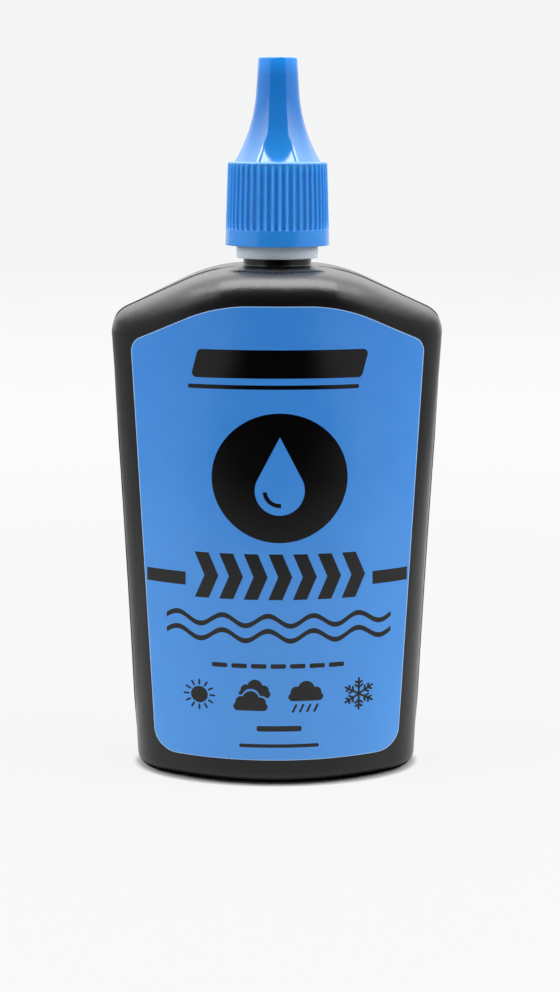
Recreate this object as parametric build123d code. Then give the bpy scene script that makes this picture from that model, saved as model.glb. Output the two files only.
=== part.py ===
from build123d import *
import os
from math import atan, cos, radians, sin, tan

# A small oval squeeze bottle for chain oil, in millimetres.
# The origin is the middle of the standing plane, +Z is up, the label faces -Y
# and the bottle's wide sides lie along X.

# Bottle body
body_height = 100.7
base_width = 56.2
shoulder_width = 66.6
waist = 0.33
body_depth = 34.0
face_half_angle = 36.0
wall = 1.0

# Shoulder, as seen from the front
shoulder_level = 11.0
shoulder_bend = 30.0
shoulder_slope = 24.5
shoulder_rounding = 5.5

# Standing rim and the dished underside
base_rounding = 2.4
standing_rim = 2.6
push_up = 1.6
push_up_slope = 40.0

# Neck with a snap bead
neck_radius = 6.65
neck_wall = 1.3
neck_height = 16.8
neck_foot_rounding = 0.5
bead_height = 0.3
bead_width = 1.2

# Label film on the front face
film = 0.12
glue = 0.03
label_bottom = 5.3
label_side_margin = 4.2
label_top_margin = 6.5
label_top_corner = 3.0
label_bottom_corner = 4.5

# Dropper fitment snapped onto the neck
ring_gap = 1.65
ring_height = 3.0
ring_flange = 0.76
ring_bevel = 0.1
collar_wall = 0.5
snap_clearance = 0.06
deck = 1.4
deck_bevel = 0.3
plug_length = 6.0
plug_wall = 0.9
plug_clearance = 0.05
spout_base_radius = 4.6
spout_tip_radius = 1.7
spout_length = 19.2
spout_wall = 1.0
orifice_radius = 0.7
orifice_length = 3.0
tip_bevel = 0.3

# Screw cap
ring_showing = 2.45
thread_space = 1.25
skirt_wall = 1.7
skirt_draft = 1.9
mouth_lead_in = 0.3
mouth_bevel = 0.1
seat_gap = 0.1
ceiling = 1.8
skirt_top_rounding = 0.35
ledge = 1.3
cover_clearance = 0.7
cover_wall = 1.35
cover_draft = 3.8
flare_height = 13.3
tip_gap = 0.8
tip_wall = 1.6
cover_top_rounding = 0.4
pin_clearance = 0.2
pin_depth = 1.5

# Finger ribs round the cap's skirt
rib_count = 45
plain_band = 3.1
plain_rim = 0.4
groove_radius = 0.4
groove_depth = 0.38
first_groove = -84.3

# Heights and radii that follow from the sizes above
neck_top = body_height + neck_height
ring_bottom = body_height + ring_gap
ring_top = ring_bottom + ring_height
bead_middle = ring_bottom + ring_height / 2
deck_top = neck_top + deck
spout_top = deck_top + spout_length
mouth = ring_bottom + ring_showing
ceiling_height = deck_top + seat_gap
skirt_top = ceiling_height + ceiling
cavity_top = spout_top + tip_gap
cap_top = cavity_top + tip_wall
neck_bore = neck_radius - neck_wall
collar_bore = neck_radius + snap_clearance
collar_radius = collar_bore + collar_wall
ring_radius = collar_radius + ring_flange
plug_radius = neck_bore - plug_clearance
cap_bore = collar_radius + thread_space
skirt_radius = cap_bore + skirt_wall
skirt_top_radius = skirt_radius - (skirt_top - mouth) * tan(radians(skirt_draft))

# A reach past the body for cutting tools, and the rise of a normal that marks a face as part of the shoulder
beyond = body_depth
upward = 0.5


def side_line(height):
    """Distance from the middle to a straight line up the body's side, which splays upwards."""
    return (base_width + (shoulder_width - base_width) * height / body_height) / 2


def half_width(height):
    """Half of the body's width at a height: its sides are drawn in a little from the straight line."""
    share = height / body_height
    return side_line(height) - 4 * waist * share * (1 - share)


def oval(half_long, half_short, height):
    """Level oval of four tangent arcs, two wide faces and two round ends."""
    turn = radians(face_half_angle)
    spread = (half_long - half_short) / (sin(turn) + cos(turn) - 1)
    end_radius = half_long - spread * sin(turn)
    corner_x = (end_radius + spread) * sin(turn)
    corner_y = end_radius * cos(turn)
    front = ThreePointArc((-corner_x, -corner_y), (0, -half_short), (corner_x, -corner_y))
    right = ThreePointArc((corner_x, -corner_y), (half_long, 0), (corner_x, corner_y))
    back = ThreePointArc((corner_x, corner_y), (0, half_short), (-corner_x, corner_y))
    left = ThreePointArc((-corner_x, corner_y), (-half_long, 0), (-corner_x, -corner_y))
    return Pos(0, 0, height) * make_face(front + right + back + left)


def front_outline(side_margin, bottom, drop, inset):
    """Face in the XZ plane: splayed sides, sloped shoulder with a level middle.

    The sides lie side_margin inside the body's, the shoulder line is lowered by drop
    and drawn in square to itself by inset.
    """
    slope = radians(shoulder_slope)
    bend = shoulder_bend - inset
    bend_middle = body_height - drop - shoulder_bend
    start = (shoulder_level / 2, bend_middle + bend)
    halfway = (shoulder_level / 2 + bend * sin(slope / 2), bend_middle + bend * cos(slope / 2))
    end = (shoulder_level / 2 + bend * sin(slope), bend_middle + bend * cos(slope))
    splay = (shoulder_width - base_width) / 2 / body_height
    fall = tan(slope)
    side_foot = side_line(0) - side_margin
    corner_x = (side_foot + splay * (end[1] + end[0] * fall)) / (1 + splay * fall)
    corner = (corner_x, end[1] - (corner_x - end[0]) * fall)
    foot = (side_line(bottom) - side_margin, bottom)
    right = Line((0, start[1]), start) + ThreePointArc(start, halfway, end)
    right += Line(end, corner) + Line(corner, foot) + Line(foot, (0, bottom))
    return Plane.XZ * make_face(right + mirror(right, about=Plane.YZ))


def body_form(inset):
    """The body's solid form, drawn in on every side by inset, or grown if that is negative."""
    half_short = body_depth / 2 - inset
    loft_top = body_height + shoulder_rounding
    levels = [inset, (inset + loft_top) / 2, loft_top]
    sides = loft([oval(half_width(level) - inset, half_short, level) for level in levels])
    outline = front_outline(-beyond, -beyond, 0, inset)
    form = sides & extrude(outline, amount=beyond, both=True)
    shoulder_faces = [face for face in form.faces() if face.normal_at().Z > upward]
    rim = [edge for face in shoulder_faces for edge in face.edges()]
    rim = [edge for edge in rim if sum(edge.is_same(other) for other in rim) == 1]
    form = fillet(rim, shoulder_rounding - inset)
    base_edges = form.faces().sort_by(Axis.Z)[0].edges()
    return fillet(base_edges, base_rounding - inset)


def dish(inset):
    """The hollow pressed up into the underside, grown by inset to clear a wall's thickness."""
    margin = base_rounding + standing_rim - inset
    rim = oval(half_width(0) - margin, body_depth / 2 - margin, 0)
    return extrude(rim, amount=push_up + inset, taper=push_up_slope)


def revolved(profile):
    return revolve(Plane.XZ * make_face(profile), axis=Axis.Z)


def make_bottle():
    """Blown body and neck in one thin-walled piece, open at the neck."""
    bead_low = (neck_radius, bead_middle - bead_width / 2)
    bead_crown = (neck_radius + bead_height, bead_middle)
    bead_high = (neck_radius, bead_middle + bead_width / 2)
    foot = body_height + neck_foot_rounding
    foot_radius = neck_radius + neck_foot_rounding
    root = body_height - wall
    neck = Line((0, root), (foot_radius, root)) + Line((foot_radius, root), (foot_radius, body_height))
    neck += TangentArc((foot_radius, body_height), (neck_radius, foot), tangent=(-1, 0))
    neck += Line((neck_radius, foot), bead_low)
    neck += ThreePointArc(bead_low, bead_crown, bead_high)
    neck += Line(bead_high, (neck_radius, neck_top)) + Line((neck_radius, neck_top), (0, neck_top))
    neck += Line((0, neck_top), (0, root))
    bore = Pos(0, 0, root - wall) * Cylinder(
        neck_bore, neck_top - root + 2 * wall, align=(Align.CENTER, Align.CENTER, Align.MIN))
    cavity = body_form(wall) - dish(wall)
    return body_form(0) - dish(0) + revolved(neck) - cavity - bore


def make_label():
    """Die-cut film wrapped on the front face, a glue line clear of the bottle."""
    outline = front_outline(label_side_margin, label_bottom, label_top_margin, 0)
    across = outline.vertices().group_by(Axis.X)
    outline = fillet(across[0] + across[-1], label_top_corner)
    low = outline.vertices().group_by(Axis.Z)[0].sort_by(Axis.X)
    outline = fillet([low[0], low[-1]], label_bottom_corner)
    front = extrude(outline, amount=body_depth)
    return (body_form(-glue - film) - body_form(-glue)) & front


def spout_radius(height):
    """Outside radius of the spout's cone at a height."""
    share = (height - deck_top) / spout_length
    return spout_base_radius + (spout_tip_radius - spout_base_radius) * share


def make_dropper_spout():
    """Collar over the neck, plug in its bore and a hollow dropper cone, all one moulding."""
    groove_half = bead_width / 2 + snap_clearance
    groove_low = (collar_bore, bead_middle - groove_half)
    groove_crown = (collar_bore + bead_height, bead_middle)
    groove_high = (collar_bore, bead_middle + groove_half)
    plug_bottom = neck_top - plug_length
    plug_bore = plug_radius - plug_wall
    hollow_top = spout_top - orifice_length
    outside = Polyline(
        (collar_bore, ring_bottom),
        (ring_radius - ring_bevel, ring_bottom),
        (ring_radius, ring_bottom + ring_bevel),
        (ring_radius, ring_top),
        (collar_radius, ring_top),
        (collar_radius, deck_top - deck_bevel),
        (collar_radius - deck_bevel, deck_top),
        (spout_base_radius, deck_top),
        (spout_radius(spout_top - tip_bevel), spout_top - tip_bevel),
        (spout_radius(spout_top) - tip_bevel, spout_top),
        (orifice_radius, spout_top),
    )
    inside = Polyline(
        (orifice_radius, spout_top),
        (orifice_radius, hollow_top),
        (spout_radius(hollow_top) - spout_wall, hollow_top),
        (spout_base_radius - spout_wall, deck_top),
        (plug_bore, neck_top),
        (plug_bore, plug_bottom),
        (plug_radius, plug_bottom),
        (plug_radius, neck_top),
        (collar_bore, neck_top),
        groove_high,
    )
    profile = outside + inside + ThreePointArc(groove_high, groove_crown, groove_low)
    profile += Line(groove_low, (collar_bore, ring_bottom))
    return revolved(profile)


def cover_profile():
    """Outside of the tall cover: a flare that runs tangent into a drafted cone."""
    draft = radians(cover_draft)
    top_radius = spout_radius(spout_top) + cover_clearance + cover_wall
    foot_radius = skirt_top_radius - ledge
    flare_top = skirt_top + flare_height
    flare_top_radius = top_radius + (cap_top - flare_top) * tan(draft)
    spread = foot_radius - flare_top_radius
    foot_angle = 2 * atan(spread / flare_height) - draft
    bend = flare_height / (sin(foot_angle) - sin(draft))
    middle_angle = (foot_angle + draft) / 2
    bend_radius = flare_top_radius + bend * cos(draft)
    bend_height = flare_top + bend * sin(draft)
    middle = (bend_radius - bend * cos(middle_angle), bend_height - bend * sin(middle_angle))
    flare = ThreePointArc((foot_radius, skirt_top), middle, (flare_top_radius, flare_top))
    rounding_foot = cap_top - cover_top_rounding
    rounding_radius = top_radius + cover_top_rounding * tan(draft)
    cone = Line((flare_top_radius, flare_top), (rounding_radius, rounding_foot))
    rounded = TangentArc((rounding_radius, rounding_foot), (top_radius - cover_top_rounding, cap_top),
                         tangent=(-sin(draft), cos(draft)))
    return (foot_radius, skirt_top), flare + cone + rounded, (top_radius - cover_top_rounding, cap_top)


def make_cap():
    """Screw cap: ribbed skirt, flat ledge and a tall flared cover with a sealing pin."""
    foot, cover, top = cover_profile()
    draft = radians(skirt_draft)
    low_radius = skirt_radius - mouth_bevel * tan(draft)
    high_radius = skirt_top_radius + skirt_top_rounding * tan(draft)
    cavity_radius = spout_radius(spout_top) + cover_clearance
    pin_radius = orifice_radius - pin_clearance
    pin_end = spout_top - pin_depth
    skirt = Line((cap_bore + mouth_lead_in, mouth), (skirt_radius - mouth_bevel, mouth))
    skirt += Line((skirt_radius - mouth_bevel, mouth), (low_radius, mouth + mouth_bevel))
    skirt += Line((low_radius, mouth + mouth_bevel), (high_radius, skirt_top - skirt_top_rounding))
    skirt += TangentArc((high_radius, skirt_top - skirt_top_rounding),
                        (skirt_top_radius - skirt_top_rounding, skirt_top), tangent=(-sin(draft), cos(draft)))
    skirt += Line((skirt_top_radius - skirt_top_rounding, skirt_top), foot)
    inside = Polyline(
        top,
        (0, cap_top),
        (0, pin_end),
        (pin_radius, pin_end),
        (pin_radius, cavity_top),
        (cavity_radius, cavity_top),
        (spout_base_radius + cover_clearance, ceiling_height),
        (cap_bore, ceiling_height),
        (cap_bore, mouth + mouth_lead_in),
        (cap_bore + mouth_lead_in, mouth),
    )
    blank = revolved(skirt + cover + inside)
    groove_length = (skirt_top - plain_rim - mouth - plain_band) / cos(draft)
    groove = Rot(0, -skirt_draft, 0) * Cylinder(
        groove_radius, groove_length, align=(Align.CENTER, Align.CENTER, Align.MIN))
    band_radius = skirt_radius - plain_band * tan(draft)
    groove = Pos(band_radius + groove_radius - groove_depth, 0, mouth + plain_band) * groove
    grooves = [turn * groove for turn in PolarLocations(0, rib_count, start_angle=first_groove)]
    return blank - grooves


os.makedirs("parts", exist_ok=True)
export_step(make_bottle(), "parts/bottle.step")
export_step(make_label(), "parts/front_label.step")
export_step(make_dropper_spout(), "parts/dropper_spout.step")
export_step(make_cap(), "parts/cap.step")
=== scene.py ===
from math import asin, atan, atan2, ceil, cos, degrees, pi, radians, sin, sqrt, tan

import bpy
import numpy as np
from mathutils import Matrix, Vector
from mathutils.bvhtree import BVHTree
from mathutils.geometry import delaunay_2d_cdt


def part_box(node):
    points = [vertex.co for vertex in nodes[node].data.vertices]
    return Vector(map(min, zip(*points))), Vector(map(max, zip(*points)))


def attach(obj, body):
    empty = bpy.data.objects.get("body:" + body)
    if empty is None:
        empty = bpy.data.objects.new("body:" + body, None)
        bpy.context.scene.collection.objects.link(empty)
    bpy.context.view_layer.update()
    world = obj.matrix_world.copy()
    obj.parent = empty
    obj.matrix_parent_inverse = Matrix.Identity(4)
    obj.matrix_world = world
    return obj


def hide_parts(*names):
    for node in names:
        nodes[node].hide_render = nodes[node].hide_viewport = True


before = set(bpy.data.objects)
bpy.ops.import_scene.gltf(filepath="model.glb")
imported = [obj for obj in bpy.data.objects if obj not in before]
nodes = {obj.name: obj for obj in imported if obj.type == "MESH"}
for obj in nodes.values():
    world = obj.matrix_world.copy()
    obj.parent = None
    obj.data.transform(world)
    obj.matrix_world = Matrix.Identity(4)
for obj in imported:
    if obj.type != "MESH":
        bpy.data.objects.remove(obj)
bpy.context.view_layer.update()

# An oval squeeze bottle for chain oil: finishes, label, ribbed cap, screw threads and mould seams,
# on a pale floor in soft studio light. The object's sizes are in millimetres, the studio's in metres.

scene = bpy.context.scene
MM = 0.001

# Sizes that the frame tells
bottle_low, bottle_high = (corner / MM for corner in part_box("bottle"))
spout_low, spout_high = (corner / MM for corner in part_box("dropper_spout"))
cap_low, cap_high = (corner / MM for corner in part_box("cap"))
label_low, label_high = (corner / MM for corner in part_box("front_label"))
body_depth = bottle_high.y - bottle_low.y
label_reach = bottle_low.y - label_low.y

# Sizes of the bottle's front face and label that their boxes don't tell
body_height = 100.7
base_width = 56.2
shoulder_width = 66.6
waist = 0.33
face_half_angle = 36.0
shoulder_level = 11.0
shoulder_bend = 30.0
shoulder_slope = 24.5
label_side_margin = 4.2
label_top_margin = 6.5
label_top_corner = 3.0
label_bottom_corner = 4.5
glue = 0.03

# Sizes of the cap and spout that their boxes don't tell
skirt_height = 16.0
skirt_draft = 1.9
skirt_wall = 1.7
mouth_lead_in = 0.3
mouth_bevel = 0.1
skirt_top_rounding = 0.35
ceiling = 1.8
ledge = 1.3
flare_height = 13.3
cover_draft = 3.8
cover_top_radius = 3.75
cover_top_rounding = 0.25
tip_wall = 1.6
cavity_top_radius = 2.4
cavity_foot_radius = 5.3
pin_radius = 0.5
pin_length = 2.3
rib_count = 45
plain_band = 3.1
plain_rim = 0.4
groove_depth = 0.48
groove_floor = 0.26
groove_fade = 0.6
groove_run_out = 0.12
first_groove = -84.3
ring_height = 3.0
ring_flange = 0.76

# Heights and radii of the cap and spout that follow from the sizes above
mouth = cap_low.z
cap_top = cap_high.z
skirt_top = mouth + skirt_height
skirt_splay = tan(radians(skirt_draft))
skirt_radius = cap_high.x + mouth_bevel * skirt_splay
cap_bore = skirt_radius - skirt_wall
groove_foot = mouth + plain_band
groove_top = skirt_top - plain_rim
collar_radius = spout_high.x - ring_flange
collar_foot = spout_low.z + ring_height


# Helpers for meshes

def new_piece(name, points, faces, material, body, sharp_angle=35.0):
    """A smooth closed mesh from points in millimetres, riding on a body."""
    mesh = bpy.data.meshes.new(name)
    mesh.from_pydata([Vector(point) * MM for point in points], [], faces)
    mesh.validate()
    mesh.shade_smooth()
    mesh.set_sharp_from_angle(angle=radians(sharp_angle))
    mesh.materials.append(material)
    piece = bpy.data.objects.new(name, mesh)
    scene.collection.objects.link(piece)
    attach(piece, body)
    return piece


def ridge(name, sections, flipped, material, body, sharp_angle=35.0):
    """A closed ridge through sections, each a ring of as many points, turned inside out if flipped."""
    ring = len(sections[0])
    last = (len(sections) - 1) * ring
    points = [point for section in sections for point in section]
    faces = []
    for here in range(0, last, ring):
        ahead = here + ring
        for corner in range(ring):
            after = (corner + 1) % ring
            faces.append([here + corner, ahead + corner, ahead + after, here + after])
    faces.append(list(range(ring)))
    faces.append([last + corner for corner in reversed(range(ring))])
    if flipped:
        faces = [list(reversed(face)) for face in faces]
    return new_piece(name, points, faces, material, body, sharp_angle)


# Helpers for materials

def new_material(name):
    """A principled material, its node tree, its shader and its object coordinates."""
    material = bpy.data.materials.new(name)
    material.use_nodes = True
    tree = material.node_tree
    coordinates = tree.nodes.new("ShaderNodeTexCoord").outputs["Object"]
    return material, tree, tree.nodes["Principled BSDF"], coordinates


def feed(tree, node, sockets):
    """Set a node's sockets, by name or number, to values, or link them to other nodes' outputs."""
    for socket, value in sockets.items():
        if isinstance(value, bpy.types.NodeSocket):
            tree.links.new(value, node.inputs[socket])
        else:
            node.inputs[socket].default_value = value


def new_node(tree, kind, sockets, **properties):
    """A node of a kind with these sockets and properties."""
    node = tree.nodes.new("ShaderNode" + kind)
    for name, value in properties.items():
        setattr(node, name, value)
    feed(tree, node, sockets)
    return node


def along(tree, coordinates, axis):
    """One of the three coordinates."""
    return new_node(tree, "SeparateXYZ", {0: coordinates}).outputs[axis]


def scaled(tree, coordinates, factors):
    """The coordinates, each times its own factor."""
    return new_node(tree, "Mapping", {"Vector": coordinates, "Scale": factors}).outputs["Vector"]


def from_origin(tree, coordinates):
    """How far the coordinates are from the origin."""
    return new_node(tree, "VectorMath", {0: coordinates}, operation="LENGTH").outputs["Value"]


def noise(tree, coordinates, size, detail=2.0, stretch=(1.0, 1.0, 1.0)):
    """Noise with features about size millimetres across, longer along the axes that stretch names."""
    fine = scaled(tree, coordinates, [1.0 / (size * MM * factor) for factor in stretch])
    return new_node(tree, "TexNoise", {"Vector": fine, "Scale": 1.0, "Detail": detail}).outputs[0]


def spread(tree, value, low, high, start=0.3, end=0.7, smooth=False):
    """The value from start to end, spread over low to high, in a straight line or a smooth one."""
    sockets = {"Value": value, "From Min": start, "From Max": end, "To Min": low, "To Max": high}
    line = "SMOOTHSTEP" if smooth else "LINEAR"
    return new_node(tree, "MapRange", sockets, interpolation_type=line).outputs["Result"]


def combine(tree, operation, *values):
    """What an operation makes of one or two nodes' outputs."""
    return new_node(tree, "Math", dict(enumerate(values)), operation=operation).outputs[0]


def blend_colors(tree, factor, first, second):
    """A colour between two, each a triple or another node's output."""
    first, second = ((*color, 1.0) if isinstance(color, tuple) else color for color in (first, second))
    return new_node(tree, "Mix", {0: factor, 6: first, 7: second}, data_type="RGBA").outputs[2]


def blend_shaders(tree, factor, first, second, output):
    """A shader between two, led to the material's or the world's output."""
    mixed = new_node(tree, "MixShader", {0: factor, 1: first.outputs[0], 2: second.outputs[0]})
    feed(tree, tree.nodes[output], {"Surface": mixed.outputs[0]})


def bump(tree, height, depth, below=None):
    """A normal roughened by a height texture, depth millimetres deep, over another one."""
    sockets = {"Height": height, "Distance": depth * MM, "Strength": 1.0}
    if below is not None:
        sockets["Normal"] = below
    return new_node(tree, "Bump", sockets).outputs["Normal"]


# Colours: each pair is mixed by a noise, and the inks' pairs also from the label's foot to its top
bottle_blacks = (0.0022, 0.0023, 0.0026), (0.0036, 0.0037, 0.0040)
dust_grey = (0.22, 0.21, 0.20)
blue_inks = (0.066, 0.270, 0.680), (0.034, 0.195, 0.571)
black_inks = (0.0020, 0.0019, 0.0021), (0.0014, 0.0014, 0.0016)
film_blues = (0.30, 0.47, 0.74), (0.38, 0.55, 0.80)
spout_pales = (0.55, 0.63, 0.71), (0.60, 0.68, 0.755)

# Blue of the cap from its mouth to its tip, darker over the cover; the pale band at the skirt's top rim
# and the pale top of the tip are a painted glow that stands in for light coming through a thin wall or an
# end
cap_blues_and_painted_glow = (
    (0.0, (0.0140, 0.198, 0.600)),
    (0.39, (0.0140, 0.198, 0.600)),
    (0.434, (0.0190, 0.320, 0.780)),
    (0.447, (0.0190, 0.230, 0.700)),
    (0.47, (0.0160, 0.200, 0.560)),
    (0.55, (0.0150, 0.185, 0.530)),
    (0.66, (0.0125, 0.152, 0.480)),
    (0.90, (0.0115, 0.148, 0.490)),
    (1.0, (0.0150, 0.250, 0.780)),
)

# Paler blue painted on the ribs' crests as a painted sheen, which leaves the grooves darker as painted
# shade, and how far below its top the skirt turns from satin to gloss
crest_sheen_blue = (0.036, 0.262, 0.700)
polish_fade = 0.5

# The shoulder's front edge looks blown, not cut: how deep it leans, between which levels below and
# above the shoulder line, how far aside the slope is followed, and where the lean fades out
shoulder_lean = 0.8
lean_below = 7.7
lean_above = 2.3
lean_reach = 34.0
lean_fade = (13.0, 27.0)

# Dust on the bottle: the specks' spacing, their sizes as shares of it, and how strongly they show
speck_spacing = 7.0
speck_sizes = (0.012, 0.02)
speck_strength = 0.5


# Materials

def shoulder_fall(tree, coordinates):
    """A height that eases from zero to minus one over the shoulder's front edge."""
    aside = combine(tree, "ABSOLUTE", along(tree, coordinates, "X"))
    slope_drop = (lean_reach - shoulder_level) * tan(radians(shoulder_slope))
    drop = spread(tree, aside, 0.0, slope_drop * MM, shoulder_level * MM, lean_reach * MM)
    level = combine(tree, "ADD", along(tree, coordinates, "Z"), drop)
    start, end = (body_height - lean_below) * MM, (body_height + lean_above) * MM
    fall = spread(tree, level, 0.0, 1.0, start, end, smooth=True)
    front = spread(tree, aside, -1.0, 0.0, lean_fade[0] * MM, lean_fade[1] * MM)
    return combine(tree, "MULTIPLY", fall, front)


def bottle_plastic():
    """Satin black polythene with mould grain, faint waves and a few specks of dust."""
    material, tree, shader, coordinates = new_material("bottle_black")
    cloudy = noise(tree, coordinates, size=22.0, detail=4.0)
    color = blend_colors(tree, cloudy, *bottle_blacks)
    speckled = {"Vector": coordinates, "Scale": 1.0 / (speck_spacing * MM)}
    specks = new_node(tree, "TexVoronoi", speckled).outputs["Distance"]
    dust = spread(tree, specks, speck_strength, 0.0, *speck_sizes)
    rubbed = noise(tree, coordinates, size=9.0, detail=5.0)
    grain = noise(tree, coordinates, size=0.34)
    waves = noise(tree, coordinates, size=16.0, detail=1.0)
    normal = bump(tree, shoulder_fall(tree, coordinates), depth=shoulder_lean)
    normal = bump(tree, waves, depth=0.03, below=normal)
    feed(tree, shader, {
        "IOR": 1.45,
        "Base Color": blend_colors(tree, dust, color, dust_grey),
        "Roughness": spread(tree, rubbed, low=0.24, high=0.30),
        "Normal": bump(tree, grain, depth=0.02, below=normal),
    })
    return material


def printed_film(name, low_color, high_color):
    """Ink under a glossy film, rippled as a label smoothed on by hand, paler towards its foot."""
    material, tree, shader, coordinates = new_material(name)
    level = along(tree, coordinates, "Z")
    rise = spread(tree, level, 0.0, 1.0, label_low.z * MM, label_high.z * MM)
    mottle = spread(tree, noise(tree, coordinates, size=5.0, detail=5.0), low=-0.08, high=0.08)
    handled = noise(tree, coordinates, size=12.0, detail=4.0)
    ripples = noise(tree, coordinates, size=1.1, detail=1.0, stretch=(2.0, 2.0, 1.0))
    waves = noise(tree, coordinates, size=9.0, detail=1.0)
    normal = bump(tree, waves, depth=0.008)
    feed(tree, shader, {
        "Base Color": blend_colors(tree, combine(tree, "ADD", rise, mottle), low_color, high_color),
        "Roughness": spread(tree, handled, low=0.09, high=0.14),
        "Normal": bump(tree, ripples, depth=0.002, below=normal),
    })
    return material


def film_stock():
    """The film itself, which shows as a pale line at its cut edge."""
    material, tree, shader, coordinates = new_material("label_film")
    fibre = noise(tree, coordinates, size=0.8, detail=3.0)
    feed(tree, shader, {
        "Base Color": blend_colors(tree, fibre, *film_blues),
        "Roughness": 0.35,
        "Normal": bump(tree, fibre, depth=0.004),
    })
    return material


def crest_sheen_share(tree, coordinates, height):
    """Where the painted sheen goes: one on the crests of the finger ribs, falling to zero in the grooves
    and on the rest of the cap.
    """
    radius = from_origin(tree, scaled(tree, coordinates, (1.0, 1.0, 0.0)))
    taper = spread(tree, height, 0.0, skirt_height * skirt_splay * MM, mouth * MM, skirt_top * MM)
    upright = combine(tree, "ADD", radius, taper)
    proud = spread(tree, upright, 0.0, 1.0, (skirt_radius - groove_depth) * MM, skirt_radius * MM)
    ribbed = spread(tree, height, 0.0, 1.0, groove_foot * MM, (groove_foot + groove_run_out) * MM)
    return combine(tree, "MULTIPLY", proud, ribbed)


def cap_plastic():
    """Blue polypropylene, a little see-through, with a polished cover over a satin skirt, a painted glow
    at the skirt's rim and tip, and a painted sheen on the rib crests.
    """
    material, tree, shader, coordinates = new_material("cap_blue")
    height = along(tree, coordinates, "Z")
    streaks = noise(tree, coordinates, size=6.0, detail=4.0, stretch=(1.0, 1.0, 3.0))
    flow = spread(tree, streaks, low=-0.006, high=0.006)
    rise = spread(tree, height, 0.0, 1.0, mouth * MM, cap_top * MM)
    # Colour ramp by height, which carries the painted glow at the skirt's top rim and the tip
    ramp_with_glow = new_node(tree, "ValToRGB", {"Fac": combine(tree, "ADD", rise, flow)})
    stops = ramp_with_glow.color_ramp.elements
    for share, color in cap_blues_and_painted_glow[1:-1]:
        stops.new(share)
    for stop, (share, color) in zip(stops, cap_blues_and_painted_glow):
        stop.position = share
        stop.color = (*color, 1.0)
    # Painted sheen: the crests take a paler blue, so the grooves stay darker as painted shade
    crests = crest_sheen_share(tree, coordinates, height)
    polish_start = (skirt_top - polish_fade) * MM
    polished = spread(tree, height, low=0.20, high=0.09, start=polish_start, end=skirt_top * MM)
    handled = spread(tree, noise(tree, coordinates, size=3.0, detail=5.0), low=-0.02, high=0.02)
    peel = noise(tree, coordinates, size=0.6)
    sink = noise(tree, coordinates, size=5.0, detail=1.0)
    normal = bump(tree, sink, depth=0.01)
    feed(tree, shader, {
        "IOR": 1.6,
        "Subsurface Weight": 0.08,
        "Subsurface Radius": (0.2, 0.45, 1.0),
        "Subsurface Scale": 0.7 * MM,
        "Base Color": blend_colors(tree, crests, ramp_with_glow.outputs["Color"], crest_sheen_blue),
        "Roughness": combine(tree, "ADD", polished, handled),
        "Normal": bump(tree, peel, depth=0.0015, below=normal),
    })
    return material


def spout_plastic():
    """Natural polythene: waxy, pale and a little see-through."""
    material, tree, shader, coordinates = new_material("spout_natural")
    flow = noise(tree, coordinates, size=4.0, detail=4.0)
    turned = noise(tree, coordinates, size=0.5, stretch=(20.0, 20.0, 1.0))
    feed(tree, shader, {
        "Specular IOR Level": 0.2,
        "Subsurface Weight": 0.85,
        "Subsurface Radius": (1.0, 1.0, 1.0),
        "Subsurface Scale": 2.5 * MM,
        "Base Color": blend_colors(tree, flow, *spout_pales),
        "Roughness": spread(tree, turned, low=0.38, high=0.48),
        "Normal": bump(tree, turned, depth=0.01),
    })
    return material


bottle_black = bottle_plastic()
ink_blue = printed_film("ink_blue", *blue_inks)
ink_black = printed_film("ink_black", *black_inks)
label_film = film_stock()
cap_blue = cap_plastic()
spout_natural = spout_plastic()


# The solids that stay in sight take their finished materials
for node, material in (("bottle", bottle_black), ("dropper_spout", spout_natural)):
    nodes[node].data.materials.clear()
    nodes[node].data.materials.append(material)


# Front face of the bottle, which carries the label

def half_width(height):
    """Half of the body's width at a height: straight splayed sides, drawn in a little halfway up."""
    share = height / body_height
    return (base_width + (shoulder_width - base_width) * share) / 2 - 4 * waist * share * (1 - share)


def face_point(x, height, out):
    """The point out millimetres proud of the front face, an oval's wide arc and its tighter ends."""
    turn = radians(face_half_angle)
    half_long = half_width(height) + out
    half_short = body_depth / 2 + out
    offset = (half_long - half_short) / (sin(turn) + cos(turn) - 1)
    end_radius = half_long - offset * sin(turn)
    wide_radius = end_radius + offset
    if abs(x) <= wide_radius * sin(turn):
        return x, wide_radius - half_short - sqrt(wide_radius ** 2 - x ** 2), height
    past = abs(x) - offset * sin(turn)
    return x, -sqrt(max(end_radius ** 2 - past ** 2, 0.0)), height


# Flat outlines, as points (x, z) in millimetres

tiny_angle = 1e-6


def arc(middle, radius, start, end, steps):
    """Points along an arc, its angles in degrees, round or as an ellipse with two radii."""
    across, up = radius if isinstance(radius, tuple) else (radius, radius)
    turns = [radians(start + (end - start) * step / steps) for step in range(steps + 1)]
    return [(middle[0] + across * cos(turn), middle[1] + up * sin(turn)) for turn in turns]


def circle(middle, radius, steps=72):
    """A closed round outline, or an ellipse with two radii."""
    return arc(middle, radius, 0, 360, steps)[:-1]


def rounded(corners, steps=10):
    """A closed outline through corners (x, z, rounding)."""
    points = []
    for place, (x, z, rounding) in enumerate(corners):
        here = Vector((x, z))
        back = Vector(corners[place - 1][:2]) - here
        ahead = Vector(corners[(place + 1) % len(corners)][:2]) - here
        if rounding == 0:
            points.append((x, z))
            continue
        half = back.angle(ahead) / 2
        inward = (back.normalized() + ahead.normalized()).normalized()
        middle = here + inward * (rounding / sin(half))
        first = here + back.normalized() * (rounding / tan(half)) - middle
        last = here + ahead.normalized() * (rounding / tan(half)) - middle
        for step in range(steps + 1):
            spoke = first.slerp(last, step / steps) if first.angle(last) > tiny_angle else first
            points.append(tuple(middle + spoke.normalized() * rounding))
    return points


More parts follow.
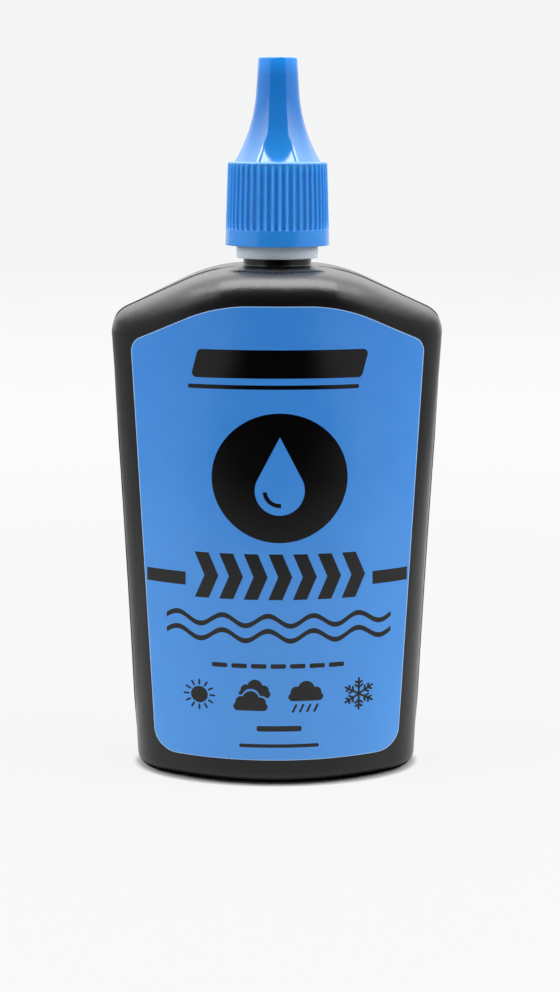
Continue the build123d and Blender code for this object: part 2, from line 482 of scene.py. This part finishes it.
def bar(left, right, low, high, rounding=0.0, slant=0.0):
    """A bar with rounded corners, its top pushed along by slant."""
    foot = [(left, low, rounding), (right, low, rounding)]
    top = [(right + slant, high, rounding), (left + slant, high, rounding)]
    return rounded(foot + top)


def stroke(start, end, width, steps=8):
    """A straight stroke with round ends."""
    start, end = Vector(start), Vector(end)
    way = (end - start).normalized()
    side = Vector((-way.y, way.x))
    tilt = degrees(atan2(side.y, side.x))
    near = arc(start, width / 2, tilt, tilt + 180, steps)
    return near + arc(end, width / 2, tilt + 180, tilt + 360, steps)


def label_outline(inset):
    """The label drawn in by inset: level top, sloped shoulders, splayed sides, round corners."""
    slope = radians(shoulder_slope)
    top = body_height - label_top_margin - inset
    bottom = label_low.z + inset
    bend_x = shoulder_level / 2 + (shoulder_bend - inset) * tan(slope / 2)
    splay = (shoulder_width - base_width) / 2 / body_height
    margin = label_side_margin + inset * sqrt(1 + splay ** 2)
    side_foot = base_width / 2 - margin
    corner_x = (side_foot + splay * (top + bend_x * tan(slope))) / (1 + splay * tan(slope))
    corner_z = top - (corner_x - bend_x) * tan(slope)
    right = [
        (side_foot + splay * bottom, bottom, label_bottom_corner - inset),
        (corner_x, corner_z, label_top_corner - inset),
        (bend_x, top, shoulder_bend - inset),
    ]
    left = [(-x, z, rounding) for x, z, rounding in reversed(right)]
    return rounded(right + left, steps=14)


# Thin closed shapes laid on the front face, cut into triangles about as large as a cell

cell = 0.7
inside_only = 1
merge_distance = 1e-5


def within(points, loop):
    """Which points lie inside a closed loop."""
    found = np.zeros(len(points), bool)
    for (x0, z0), (x1, z1) in zip(loop, loop[1:] + loop[:1]):
        if z0 == z1:
            continue
        level = (z0 > points[:, 1]) != (z1 > points[:, 1])
        found ^= level & (points[:, 0] < x0 + (points[:, 1] - z0) * (x1 - x0) / (z1 - z0))
    return found


def covered(points, layers):
    """Which points are inked by layers (adds, loops), each added to or cut out of those before it."""
    inked = np.zeros(len(points), bool)
    for adds, loops in layers:
        for loop in loops:
            inked[within(points, loop)] = adds
    return inked


def divided(loop):
    """The loop with its long edges cut to the length of a cell."""
    points = []
    for start, end in zip(loop, loop[1:] + loop[:1]):
        start, end = Vector(start), Vector(end)
        pieces = max(1, ceil((end - start).length / cell))
        points += [tuple(start.lerp(end, step / pieces)) for step in range(pieces)]
    return points


def rim_of(layers):
    """The points along all loops of the layers, and the edges between them."""
    rim, edges = [], []
    for adds, loops in layers:
        for loop in loops:
            points = divided(loop)
            first = len(rim)
            rim += points
            edges += [(first + step, first + (step + 1) % len(points)) for step in range(len(points))]
    return np.array(rim), edges


def grid_inside(layers, rim):
    """A grid of points over what the layers ink, clear of its rim."""
    across = np.arange(rim[:, 0].min(), rim[:, 0].max(), cell)
    upward = np.arange(rim[:, 1].min(), rim[:, 1].max(), cell)
    grid = np.array([(x, z) for x in across for z in upward])
    grid = grid[covered(grid, layers)]
    gaps = np.array([np.hypot(*(rim - point).T).min() for point in grid])
    return grid[gaps > cell / 2]


def inked_triangles(layers):
    """Flat corners, and the triangles between them that the layers ink."""
    rim, edges = rim_of(layers)
    flat = [Vector(point) for point in (*rim, *grid_inside(layers, rim))]
    corners, _, triangles, *_ = delaunay_2d_cdt(flat, edges, [], inside_only, merge_distance)
    middles = [sum((corners[at] for at in triangle), Vector((0, 0))) / 3 for triangle in triangles]
    inked = covered(np.array(middles), layers)
    return corners, [triangle for triangle, kept in zip(triangles, inked) if kept]


def laid_on(name, layers, low, high, material):
    """A thin closed skin on the front face, from low to high millimetres proud of it."""
    corners, triangles = inked_triangles(layers)
    number = {}
    for triangle in triangles:
        for corner in triangle:
            number.setdefault(corner, len(number))
    count = len(number)
    points = [face_point(*corners[corner], high) for corner in number]
    points += [face_point(*corners[corner], low) for corner in number]
    outer = [[number[corner] for corner in triangle] for triangle in triangles]
    inner = [[count + corner for corner in reversed(triangle)] for triangle in outer]
    sides = {(triangle[turn - 1], triangle[turn]) for triangle in outer for turn in range(3)}
    rims = sorted((end, start) for start, end in sides if (end, start) not in sides)
    walls = [[end, start, count + start, count + end] for end, start in rims]
    return new_piece(name, points, outer + inner + walls, material, "bottle")


# Label: a pale film, a blue field inside its cut edge, and black print on the field
ink_overlap = 0.01
film_out = label_reach - 0.03
field_out = label_reach - 0.015
print_out = label_reach
cut_edge = 0.12
film_piece = laid_on("label_film", [(True, [label_outline(0.0)])], glue, film_out, label_film)
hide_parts("front_label")
laid_on("label_field", [(True, [label_outline(cut_edge)])], film_out - ink_overlap, field_out, ink_blue)


# Print: plain shapes, in millimetres across and up the face, the clouds also with their width
print_middle = 0.3
line_rounding = 0.3
header_ends = (print_middle - 17.0, print_middle + 15.6)
header_levels = (80.6, 86.0)
header_rounding = 0.9
header_slant = 1.4
rule_ends = (print_middle - 17.6, print_middle + 15.0)
rule_levels = (78.5, 79.3)
rule_slant = 0.2
disc_middle = (print_middle, 61.4)
disc_radii = (13.05, 12.56)
drop_middle = (print_middle, 61.8)
drop_width = 9.6
drop_height = 15.2
shine_middle = (print_middle, 59.0)
shine_radii = (3.3, 2.5)
shine_turns = (185, 275)
left_bar_ends = (-25.55, print_middle - 18.2)
right_bar_ends = (print_middle + 18.2, 25.55)
side_bar_levels = (39.8, 42.4)
chevron_count = 7
chevron_start = print_middle - 16.4
chevron_pitch = 4.75
chevron_level = 42.1
chevron_width = 2.7
chevron_height = 9.0
chevron_point = 1.9
wave_ends = (print_middle - 22.0, print_middle + 22.0)
wave_levels = (30.4, 33.4)
wave_rise = 1.0
wave_length = 8.8
wave_width = 1.0
dash_count = 7
dash_start = print_middle - 13.1
dash_pitch = 3.8
dash_length = 3.0
dash_levels = (23.9, 24.8)
sun_middle = (print_middle - 15.6, 18.0)
sun_radius = 1.65
sun_rays = 12
far_cloud = (print_middle - 4.8, 19.6, 6.2)
near_cloud_gap = (print_middle - 5.6, 17.3, 7.5)
near_cloud = (print_middle - 5.6, 17.1, 6.7)
rain_cloud = (print_middle + 5.2, 19.1, 6.8)
rain_count = 4
rain_start = print_middle + 3.3
rain_pitch = 1.4
rain_lean = 0.6
rain_levels = (16.5, 15.2)
rain_width = 0.42
flake_middle = (print_middle + 15.7, 17.95)
flake_radius = 3.1
short_bar_ends = (print_middle - 4.4, print_middle + 4.4)
short_bar_levels = (11.2, 12.3)
short_bar_rounding = 0.4
long_bar_ends = (print_middle - 7.8, print_middle + 7.8)
long_bar_levels = (7.9, 8.6)


def falling_drop():
    """A drop with a round bowl under a drawn-out tip."""
    x, z = drop_middle
    radius = drop_width / 2
    bowl = z - drop_height / 2 + radius
    reach = z + drop_height / 2 - bowl
    lean = degrees(asin(radius / reach))
    return [(x, bowl + reach)] + arc((x, bowl), radius, 180 - lean, 360 + lean, steps=40)


def chevron(left):
    """An arrowhead stripe that points to the right."""
    low, high = chevron_level - chevron_height / 2, chevron_level + chevron_height / 2
    right = left + chevron_width
    tip = [(right, low), (right + chevron_point, chevron_level), (right, high)]
    return [(left, low)] + tip + [(left, high), (left + chevron_point, chevron_level)]


def wave(middle, steps=120):
    """A level wavy band."""
    left, right = wave_ends
    places = [left + (right - left) * step / steps for step in range(steps + 1)]
    line = [(x, middle + wave_rise * sin(2 * pi * (x - left) / wave_length)) for x in places]
    lower = [(x, z - wave_width / 2) for x, z in line]
    upper = [(x, z + wave_width / 2) for x, z in reversed(line)]
    return lower + upper


def cloud(x, z, width):
    """A cloud as overlapping discs on a rounded base, sized in tenths of its width."""
    unit = width / 10.0
    return [
        bar(x - 5 * unit, x + 5 * unit, z - 2.6 * unit, z - 0.2 * unit, rounding=1.19 * unit),
        circle((x - 2.7 * unit, z), 1.7 * unit, steps=40),
        circle((x + 0.1 * unit, z + 0.9 * unit), 2.4 * unit, steps=48),
        circle((x + 2.9 * unit, z - 0.1 * unit), 1.6 * unit, steps=40),
    ]


def sun():
    """A disc with short rays round it, sized as shares of its radius."""
    starts = circle(sun_middle, 1.28 * sun_radius, steps=sun_rays)
    ends = circle(sun_middle, 1.78 * sun_radius, steps=sun_rays)
    rays = [stroke(start, end, 0.22 * sun_radius) for start, end in zip(starts, ends)]
    return [circle(sun_middle, sun_radius, steps=48)] + rays


def snowflake():
    """Six arms, each with two pairs of barbs, sized as shares of an arm's length."""
    middle = Vector(flake_middle)
    arms = 6
    arm_width = 0.13 * flake_radius
    barb_lean = radians(55)
    shapes = []
    for arm in range(arms):
        turn = Matrix.Rotation(radians(360 / arms * arm + 30), 2)
        lines = [((0, 0), (1, 0))]
        for root, length in ((0.42, 0.28), (0.68, 0.24)):
            for side in (1, -1):
                tip = (root + length * cos(barb_lean), side * length * sin(barb_lean))
                lines.append(((root, 0), tip))
        for line in lines:
            start, end = (middle + turn @ Vector(point) * flake_radius for point in line)
            shapes.append(stroke(start, end, arm_width))
    return shapes


def rain():
    """A row of short slanted strokes."""
    high, low = rain_levels
    starts = [rain_start + rain_pitch * step for step in range(rain_count)]
    return [stroke((x, high), (x - rain_lean, low), rain_width) for x in starts]


def print_layers():
    """The print from top to bottom, as layers that add ink or cut it out."""
    header = bar(*header_ends, *header_levels, header_rounding, header_slant)
    rule = bar(*rule_ends, *rule_levels, line_rounding, rule_slant)
    shine = arc(shine_middle, shine_radii[0], *shine_turns, steps=16)
    shine += arc(shine_middle, shine_radii[1], *reversed(shine_turns), steps=16)
    dashes = [dash_start + dash_pitch * step for step in range(dash_count)]
    return [
        (True, [header, rule]),
        (True, [circle(disc_middle, disc_radii, steps=120)]),
        (False, [falling_drop()]),
        (True, [shine]),
        (True, [bar(*ends, *side_bar_levels) for ends in (left_bar_ends, right_bar_ends)]),
        (True, [chevron(chevron_start + chevron_pitch * step) for step in range(chevron_count)]),
        (True, [wave(level) for level in wave_levels]),
        (True, [bar(left, left + dash_length, *dash_levels, line_rounding) for left in dashes]),
        (True, sun()),
        (True, cloud(*far_cloud)),
        (False, cloud(*near_cloud_gap)),
        (True, cloud(*near_cloud)),
        (True, cloud(*rain_cloud)),
        (True, rain()),
        (True, snowflake()),
        (True, [bar(*short_bar_ends, *short_bar_levels, short_bar_rounding)]),
        (True, [bar(*long_bar_ends, *long_bar_levels, line_rounding)]),
    ]


laid_on("label_print", print_layers(), field_out - ink_overlap, print_out, ink_black)


# Cap: a turned shell whose finger grooves have eased lips

rib_samples = 16
round_steps = 6
cone_steps = 4
flare_steps = 24
groove_steps = 6
top_rings = (0.0, 1.2, 2.4)
fade_shares = (0.0, 0.15, 0.5, 0.8, 0.95, 1.0)
band_shares = (0.0, 0.06, 0.5, 0.94, 1.0)
cavity_shares = (0.33, 0.66, 0.97, 1.0)
ledge_margins = (0.25, 0.15)
inner_rounding = 0.2
pin_root = 0.1
pin_bevel = 0.15


def groove(turn_share):
    """Depth of the grooves at a share of the pitch from a groove's middle: flat floors, round crests."""
    wall = (1 - groove_floor) / 2
    climb = max(0.0, abs(turn_share) - groove_floor / 2) / wall
    return groove_depth * (0.5 + 0.5 * cos(pi * climb))


def skirt_at(height):
    """The skirt's outside radius at a height."""
    return skirt_radius - (height - mouth) * skirt_splay


def cover_rows():
    """Outside of the cover from the middle of its top, over its edge, down its cone and flare."""
    lean = radians(cover_draft)
    flare_top = skirt_top + flare_height
    flare_top_radius = cover_top_radius + (cap_top - flare_top) * tan(lean)
    flare_width = skirt_at(skirt_top) - ledge - flare_top_radius
    foot_angle = 2 * atan(flare_width / flare_height) - lean
    bend = flare_height / (sin(foot_angle) - sin(lean))
    bend_radius = flare_top_radius + bend * cos(lean)
    bend_height = flare_top + bend * sin(lean)
    rows = [(radius, cap_top) for radius in top_rings]
    edge = (cover_top_radius - cover_top_rounding, cap_top - cover_top_rounding)
    rows += arc(edge, cover_top_rounding, 90, cover_draft, round_steps)
    cone_top = cap_top - 2 * cover_top_rounding
    for step in range(cone_steps + 1):
        height = cone_top + (flare_top - cone_top) * step / cone_steps
        rows.append((cover_top_radius + (cap_top - height) * tan(lean), height))
    for step in range(1, flare_steps + 1):
        turn = lean + (foot_angle - lean) * step / flare_steps
        rows.append((bend_radius - bend * cos(turn), bend_height - bend * sin(turn)))
    return rows


def ledge_rows():
    """The flat ledge round the cover's foot and the rounded edge of the skirt's top."""
    start = skirt_at(skirt_top) - ledge + ledge_margins[0]
    rim = skirt_at(skirt_top) - skirt_top_rounding
    rows = [(start, skirt_top), (rim - ledge_margins[1], skirt_top)]
    middle = (rim, skirt_top - skirt_top_rounding)
    return rows + arc(middle, skirt_top_rounding, 90, skirt_draft, round_steps)


def groove_rows():
    """The grooved part of the skirt, as rows (radius, height, share of the groove's depth)."""
    rows = []
    for share in fade_shares:
        height = groove_top - groove_fade * share
        rows.append((skirt_at(height), height, sin(share * pi / 2)))
    full_top = groove_top - groove_fade
    full_foot = groove_foot + groove_run_out
    for step in range(1, groove_steps + 1):
        height = full_top + (full_foot - full_top) * step / groove_steps
        rows.append((skirt_at(height), height, 1.0))
    return rows


def mouth_rows():
    """The plain band under the grooves and the edge of the mouth."""
    band_foot = mouth + mouth_bevel
    heights = [groove_foot + (band_foot - groove_foot) * share for share in band_shares]
    rows = [(skirt_at(height), height) for height in heights]
    softened = 0.3 * mouth_bevel
    return rows + [
        (skirt_radius - softened, mouth + softened),
        (skirt_radius - mouth_bevel, mouth),
        (cap_bore + mouth_lead_in, mouth),
    ]


def inside_rows():
    """Inside of the cap: bore, ceiling, cavity for the spout, and the sealing pin."""
    ceiling_height = skirt_top - ceiling
    cavity_top = cap_top - tip_wall
    pin_end = cavity_top - pin_length
    softened = 0.3 * inner_rounding
    rows = [
        (cap_bore, mouth + mouth_lead_in),
        (cap_bore, (mouth + ceiling_height) / 2),
        (cap_bore, ceiling_height - inner_rounding),
        (cap_bore - softened, ceiling_height - softened),
        (cap_bore - inner_rounding, ceiling_height),
        (cavity_foot_radius + inner_rounding, ceiling_height),
        (cavity_foot_radius, ceiling_height + inner_rounding),
    ]
    for share in cavity_shares:
        radius = cavity_foot_radius + (cavity_top_radius - cavity_foot_radius) * share
        rows.append((radius, ceiling_height + (cavity_top - ceiling_height) * share))
    return rows + [
        (pin_radius + pin_root, cavity_top),
        (pin_radius, cavity_top - pin_root),
        (pin_radius, pin_end + pin_bevel),
        (pin_radius - pin_bevel, pin_end),
        (0.0, pin_end),
    ]


def cap_profile():
    """The cap's section from the top's middle, as rows (radius, height, share of the groove's depth)."""
    above = [(radius, height, 0.0) for radius, height in cover_rows() + ledge_rows()]
    below = [(radius, height, 0.0) for radius, height in mouth_rows() + inside_rows()]
    return above + groove_rows() + below


def turned_shell(name, rows, material, body):
    """A closed shell turned about the axis, its grooves cut where a row says so."""
    columns = rib_count * rib_samples
    points, rings = [], []
    for radius, height, share in rows:
        if radius == 0.0:
            rings.append([len(points)] * columns)
            points.append((0.0, 0.0, height))
            continue
        rings.append(list(range(len(points), len(points) + columns)))
        for column in range(columns):
            turn = radians(first_groove) + 2 * pi * column / columns
            place = column / rib_samples
            depth = share * groove(place - round(place))
            points.append(((radius - depth) * cos(turn), (radius - depth) * sin(turn), height))
    faces = []
    for upper, lower in zip(rings, rings[1:]):
        for column in range(columns):
            after = (column + 1) % columns
            corners = [upper[column], lower[column], lower[after], upper[after]]
            faces.append(list(dict.fromkeys(corners)))
    return new_piece(name, points, faces, material, body, sharp_angle=40.0)


cap_piece = turned_shell("cap_shell", cap_profile(), cap_blue, "cap")
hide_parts("cap")


# Threads: a helix on the spout's collar and one in the cap's bore, half a pitch apart

thread_pitch = 3.0
thread_turns = 2.6
thread_steps = 60
thread_run_out = 12
thread_least = 0.02
thread_buried = 0.15
thread_half_width = 0.75
thread_flanks = ((0.1, -0.66), (0.85, -0.32), (1.0, -0.18), (1.0, 0.18), (0.85, 0.32), (0.1, 0.66))
thread_foot = collar_foot + 3.2
thread_crest_gap = 0.42


def thread(name, root, crest, foot_height, material, body):
    """A helical ridge from its root radius to its crest, with ends that run out into the wall."""
    steps = round(thread_turns * thread_steps)
    buried = thread_buried if crest > root else -thread_buried
    sections = []
    for step in range(steps + 1):
        turn = 2 * pi * step / thread_steps
        height = foot_height + thread_pitch * step / thread_steps
        fade = min(1.0, step / thread_run_out, (steps - step) / thread_run_out)
        reach = (crest - root) * (thread_least + (1 - thread_least) * fade)
        profile = [(root - buried, height - thread_half_width)]
        profile += [(root + share * reach, height + up) for share, up in thread_flanks]
        profile += [(root - buried, height + thread_half_width)]
        sections.append([(radius * cos(turn), radius * sin(turn), z) for radius, z in profile])
    return ridge(name, sections, crest < root, material, body)


thread("spout_thread", collar_radius, cap_bore - thread_crest_gap, thread_foot,
       spout_natural, "bottle")
thread("cap_thread", cap_bore, collar_radius + thread_crest_gap, thread_foot - thread_pitch / 2,
       cap_blue, "cap")


# Parting line of the blow mould: a low ridge where the bottle's two halves meet

seam_half_width = 0.16
seam_height = 0.22
seam_buried = 0.05
seam_crown = ((-0.8, 0.35), (-0.4, 0.88), (0.0, 1.0), (0.4, 0.88), (0.8, 0.35))
seam_turns = (81.5, -58.0)
seam_steps = 260
seam_run_out = 10
seam_widest = bottle_high.x - 1.2 * seam_height
outside_reach = 200.0


def bottle_surface():
    """The bottle's own faces, to be struck by rays."""
    mesh = nodes["bottle"].data
    mesh.calc_loop_triangles()
    corners = [vertex.co for vertex in mesh.vertices]
    return BVHTree.FromPolygons(corners, [triangle.vertices for triangle in mesh.loop_triangles])


def seam_path(surface, side):
    """Points and outward directions along one side of the bottle's outline, struck by turning rays."""
    centre = Vector((0.0, 0.0, 0.5 * body_height)) * MM
    start, end = seam_turns
    path = []
    for step in range(seam_steps + 1):
        turn = radians(start + (end - start) * step / seam_steps)
        way = Vector((side * cos(turn), 0.0, sin(turn)))
        place, normal, _, _ = surface.ray_cast(centre + way * outside_reach * MM, -way)
        path.append((place / MM, Vector((normal.x, 0.0, normal.z)).normalized()))
    return path


def seam(name, surface, side):
    """A low rounded ridge in the middle plane, fading out at its ends and where the bottle is widest."""
    sections = []
    for step, (place, normal) in enumerate(seam_path(surface, side)):
        fade = min(1.0, step / seam_run_out, (seam_steps - step) / seam_run_out)
        room = max(0.0, seam_widest - abs(place.x))
        height = seam_height * min(fade, room)
        profile = [(-1.0, -seam_buried)]
        profile += [(across, share * height) for across, share in seam_crown]
        profile += [(1.0, -seam_buried)]
        sections.append([place + normal * up + Vector((0.0, across * seam_half_width, 0.0))
                         for across, up in profile])
    return ridge(name, sections, side < 0, bottle_black, "bottle", sharp_angle=60.0)


skin = bottle_surface()
seam("seam_right", skin, 1)
seam("seam_left", skin, -1)


# Camera as fitted to the photograph

camera_height = 128.7
camera_distance = 392.8
camera_azimuth = -1.0
camera_pitch = 10.65
camera_roll = 0.17
focal_pixels = 2000.0
frame_pixels = (560, 992)
axis_pixel = 276.6
sensor = 36.0


def make_camera():
    """A level camera, pitched down and rolled a little, with the bottle's axis at its pixel."""
    turn = -radians(camera_azimuth) + (frame_pixels[0] / 2 - axis_pixel) / focal_pixels
    pitch, roll = radians(camera_pitch), radians(camera_roll)
    forward = Vector((sin(turn) * cos(pitch), cos(turn) * cos(pitch), -sin(pitch)))
    level = Vector((cos(turn), -sin(turn), 0.0))
    upright = level.cross(forward)
    right = level * cos(roll) + upright * sin(roll)
    up = upright * cos(roll) - level * sin(roll)
    around = radians(camera_azimuth)
    aside, ahead = camera_distance * sin(around), -camera_distance * cos(around)
    place = Vector((aside, ahead, camera_height)) * MM
    data = bpy.data.cameras.new("camera")
    data.sensor_width = sensor
    data.lens = sensor * focal_pixels / max(frame_pixels)
    data.clip_start = 0.01
    camera = bpy.data.objects.new("camera", data)
    turned = Matrix((right, up, -forward)).transposed().to_4x4()
    camera.matrix_world = Matrix.Translation(place) @ turned
    scene.collection.objects.link(camera)
    scene.camera = camera


make_camera()


# Stage: a pale floor that runs out into a white surround, in metres

floor_half = 6.0
floor_color = (0.445, 0.446, 0.448)
floor_mottle = 0.995
surround_low = (0.965, 0.968, 0.972)
surround_high = (0.905, 0.909, 0.915)
surround_fade = (0.5, 1.4)
near_glow = 0.88
near_rings = (0.98, 1.05)
far_distances = (0.16, 0.42)
fill_color = (0.97, 0.985, 1.0)
fill_front = 0.41
fill_back = 0.9
fill_turn = (-0.75, 0.25)


def new_stage(name, corners, material):
    """A flat piece of the stage."""
    mesh = bpy.data.meshes.new(name)
    mesh.from_pydata(corners, [], [tuple(range(len(corners)))])
    mesh.materials.append(material)
    piece = bpy.data.objects.new(name, mesh)
    scene.collection.objects.link(piece)
    return piece


def seen_directly(tree):
    """One for rays from the camera and those mirrored or let through, zero for scattered light."""
    path = tree.nodes.new("ShaderNodeLightPath")
    mirrored = combine(tree, "MAXIMUM", path.outputs["Is Camera Ray"], path.outputs["Is Glossy Ray"])
    return combine(tree, "MAXIMUM", mirrored, path.outputs["Is Transmission Ray"])


def make_floor():
    """A wide floor, lit and shadowed near the object and as white as the surround further out."""
    material, tree, shader, coordinates = new_material("floor")
    tree.nodes.remove(shader)
    fine = noise(tree, coordinates, size=1.5, detail=3.0)
    shade = tuple(floor_mottle * part for part in floor_color)
    lit = new_node(tree, "BsdfDiffuse", {"Color": blend_colors(tree, fine, shade, floor_color)})
    away = from_origin(tree, coordinates)
    far = spread(tree, away, 0.0, 1.0, *surround_fade)
    glow = new_node(tree, "Emission", {"Color": blend_colors(tree, far, surround_low, surround_high)})
    oval = (2.0 / (base_width * MM), 2.0 / (body_depth * MM), 1.0)
    rings = from_origin(tree, scaled(tree, coordinates, oval))
    near = spread(tree, rings, 0.0, near_glow, *near_rings, smooth=True)
    outward = spread(tree, away, 0.0, 1.0 - near_glow, *far_distances, smooth=True)
    share = combine(tree, "MULTIPLY", combine(tree, "ADD", near, outward), seen_directly(tree))
    blend_shaders(tree, share, lit, glow, "Material Output")
    half = floor_half
    new_stage("floor", [(-half, -half, 0), (half, -half, 0), (half, half, 0), (-half, half, 0)], material)


def make_surround():
    """White where it is seen or mirrored; for scattered light bright behind the object, dark in front."""
    world = bpy.data.worlds.new("surround")
    scene.world = world
    world.use_nodes = True
    tree = world.node_tree
    ahead = along(tree, tree.nodes.new("ShaderNodeTexCoord").outputs["Generated"], "Y")
    fill = tree.nodes["Background"]
    strength = spread(tree, ahead, fill_front, fill_back, *fill_turn)
    feed(tree, fill, {"Color": (*fill_color, 1.0), "Strength": strength})
    white = new_node(tree, "Background", {"Color": (*surround_high, 1.0)})
    blend_shaders(tree, seen_directly(tree), fill, white, "World Output")


make_floor()
make_surround()


# Studio: lamps that light the object, and the bright and dark screens that its gloss mirrors, in metres

light_target = Vector((0.0, 0.0, 0.07))
lamp_power = 4.0

# A tent of screens; edges come in pairs, at the front and at the back
tent = 1.15
roof = 1.3
dark_roof_back = -0.65
panel_level = 1.0
panel_front = -0.50
panel_back = 0.1
panel_edges = (0.70, 0.45)
rim_edges = (0.82, 0.57)
strip_edges = (0.90, 0.64)
mat_level = 0.0001
mat_inner = 0.26
left_mat_back = 0.2
right_mat_back = 0.6
back_mat_inner = 0.12
near_mat_inner = 0.045
near_mat_front = 0.03
front_mat_back = -0.021

# Brightness of the screens, where 1 looks white
dark = 0.0
panel_bright = 11.5
strip_bright = 18.0
roof_bright = 4.2
side_wall_bright = 0.65
back_wall_bright = 1.05
side_mat_bright = 0.5
back_mat_bright = 0.35
near_mat_bright = 0.62
shade_bright = 0.35

# How some of them change: along which axis, from where to where, and to what brightness
side_wall_ramp = ("Z", 0.4, 1.25, 4.5)
back_wall_ramp = ("Z", 0.3, 1.25, 3.9)
near_mat_ramp = ("Y", 0.06, 0.2, 0.43)
front_mat_ramp = ("Y", -0.34, -0.14, 0.75)

# Ovals under the base, met only by mirrored light, that stand in for its contact shadow as painted shadow
# and keep its foot dark: reach past the base in millimetres, and level
contact_reach = 0.0
contact_level = 0.0003
shade_reach = 0.8
shade_level = 0.0002


def lamp(name, azimuth, elevation, distance, width, height, brightness):
    """A flat lamp that faces the object, azimuth 0 towards the camera and 90 to the right."""
    around, up = radians(azimuth), radians(elevation)
    way = Vector((sin(around) * cos(up), -cos(around) * cos(up), sin(up)))
    data = bpy.data.lights.new(name, "AREA")
    data.shape = "RECTANGLE"
    data.size = width
    data.size_y = height
    data.energy = brightness * lamp_power * width * height
    piece = bpy.data.objects.new(name, data)
    piece.location = light_target + way * distance
    piece.rotation_euler = (-way).to_track_quat("-Z", "Y").to_euler()
    piece.visible_camera = False
    piece.visible_glossy = False
    scene.collection.objects.link(piece)


def screen(name, corners, brightness, ramp=None):
    """A flat screen that only mirrored light meets, its brightness even or changed by a ramp."""
    material, tree, shader, coordinates = new_material(name)
    tree.nodes.remove(shader)
    strength = brightness
    if ramp is not None:
        axis, start, end, last = ramp
        strength = spread(tree, along(tree, coordinates, axis), brightness, last, start, end)
    glow = new_node(tree, "Emission", {"Strength": strength})
    feed(tree, tree.nodes["Material Output"], {"Surface": glow.outputs[0]})
    piece = new_stage(name, corners, material)
    piece.visible_camera = False
    piece.visible_diffuse = False
    piece.visible_transmission = False
    piece.visible_shadow = False
    piece.visible_volume_scatter = False


def level_screen(name, left, right, front, back, height, brightness, ramp=None):
    """A level screen, its left and right edges given at the front and at the back."""
    ahead = [(left[0], front, height), (right[0], front, height)]
    behind = [(right[1], back, height), (left[1], back, height)]
    screen(name, ahead + behind, brightness, ramp)


def mat_screen(name, left, right, front, back, brightness, ramp=None):
    """A square mat on the floor."""
    level_screen(name, (left, left), (right, right), front, back, mat_level, brightness, ramp)


def wall_screen(name, start, end, brightness, ramp=None):
    """An upright screen as high as the roof, from one place on the floor to another."""
    corners = [(*start, 0.0), (*end, 0.0), (*end, roof), (*start, roof)]
    screen(name, corners, brightness, ramp)


def painted_shadow_oval(name, reach, level, brightness):
    """An oval under the base that reaches a little past it: a painted shadow that only mirrored light
    meets.
    """
    outline = circle((0, 0), (base_width / 2 + reach, body_depth / 2 + reach))
    screen(name, [(x * MM, y * MM, level) for x, y in outline], brightness)


def make_screens():
    """A tent with a bright panel in its roof, walls that brighten upwards, a dark front, and ovals of
    painted shadow under the base.
    """
    panel_place = (panel_front, panel_back, panel_level)
    level_screen("panel_screen", [-x for x in panel_edges], panel_edges, *panel_place, panel_bright)
    for side, word, mat_back in ((-1, "left", left_mat_back), (1, "right", right_mat_back)):
        edges = (panel_edges, rim_edges, strip_edges)
        inner, middle, outer = ([side * x for x in edge] for edge in edges)
        level_screen(word + "_rim_screen", inner, middle, *panel_place, dark)
        level_screen(word + "_strip_screen", middle, outer, *panel_place, strip_bright)
        x = side * tent
        wall_screen(word + "_wall_screen", (x, -tent), (x, tent), side_wall_bright, side_wall_ramp)
        mat_screen(word + "_mat_screen", side * mat_inner, x, -tent, mat_back, side_mat_bright)
    mat_screen("back_mat_screen", -tent, -back_mat_inner, left_mat_back, tent, back_mat_bright)
    mat_screen("near_mat_screen", -mat_inner, -near_mat_inner, near_mat_front, left_mat_back,
               near_mat_bright, near_mat_ramp)
    wall_screen("back_wall_screen", (-tent, tent), (tent, tent), back_wall_bright, back_wall_ramp)
    wall_screen("front_wall_screen", (-tent, -tent), (tent, -tent), dark)
    wide = (-tent, -tent), (tent, tent)
    level_screen("roof_screen", *wide, dark_roof_back, tent, roof, roof_bright)
    level_screen("front_roof_screen", *wide, -tent, dark_roof_back, roof, dark)
    mat_screen("front_mat_screen", -mat_inner, mat_inner, -tent, front_mat_back, dark, front_mat_ramp)
    # Painted contact shadow under the base, seen only in reflections
    painted_shadow_oval("contact_shadow_screen", contact_reach, contact_level, dark)
    painted_shadow_oval("shade_screen", shade_reach, shade_level, shade_bright)


lamp("ceiling_lamp", azimuth=0, elevation=84, distance=0.93, width=1.3, height=0.8, brightness=0.45)
lamp("left_lamp", azimuth=-76, elevation=34, distance=1.0, width=0.8, height=0.8, brightness=3.65)
lamp("right_lamp", azimuth=76, elevation=34, distance=1.0, width=0.8, height=0.8, brightness=4.1)
make_screens()

scene.view_settings.view_transform = "Standard"
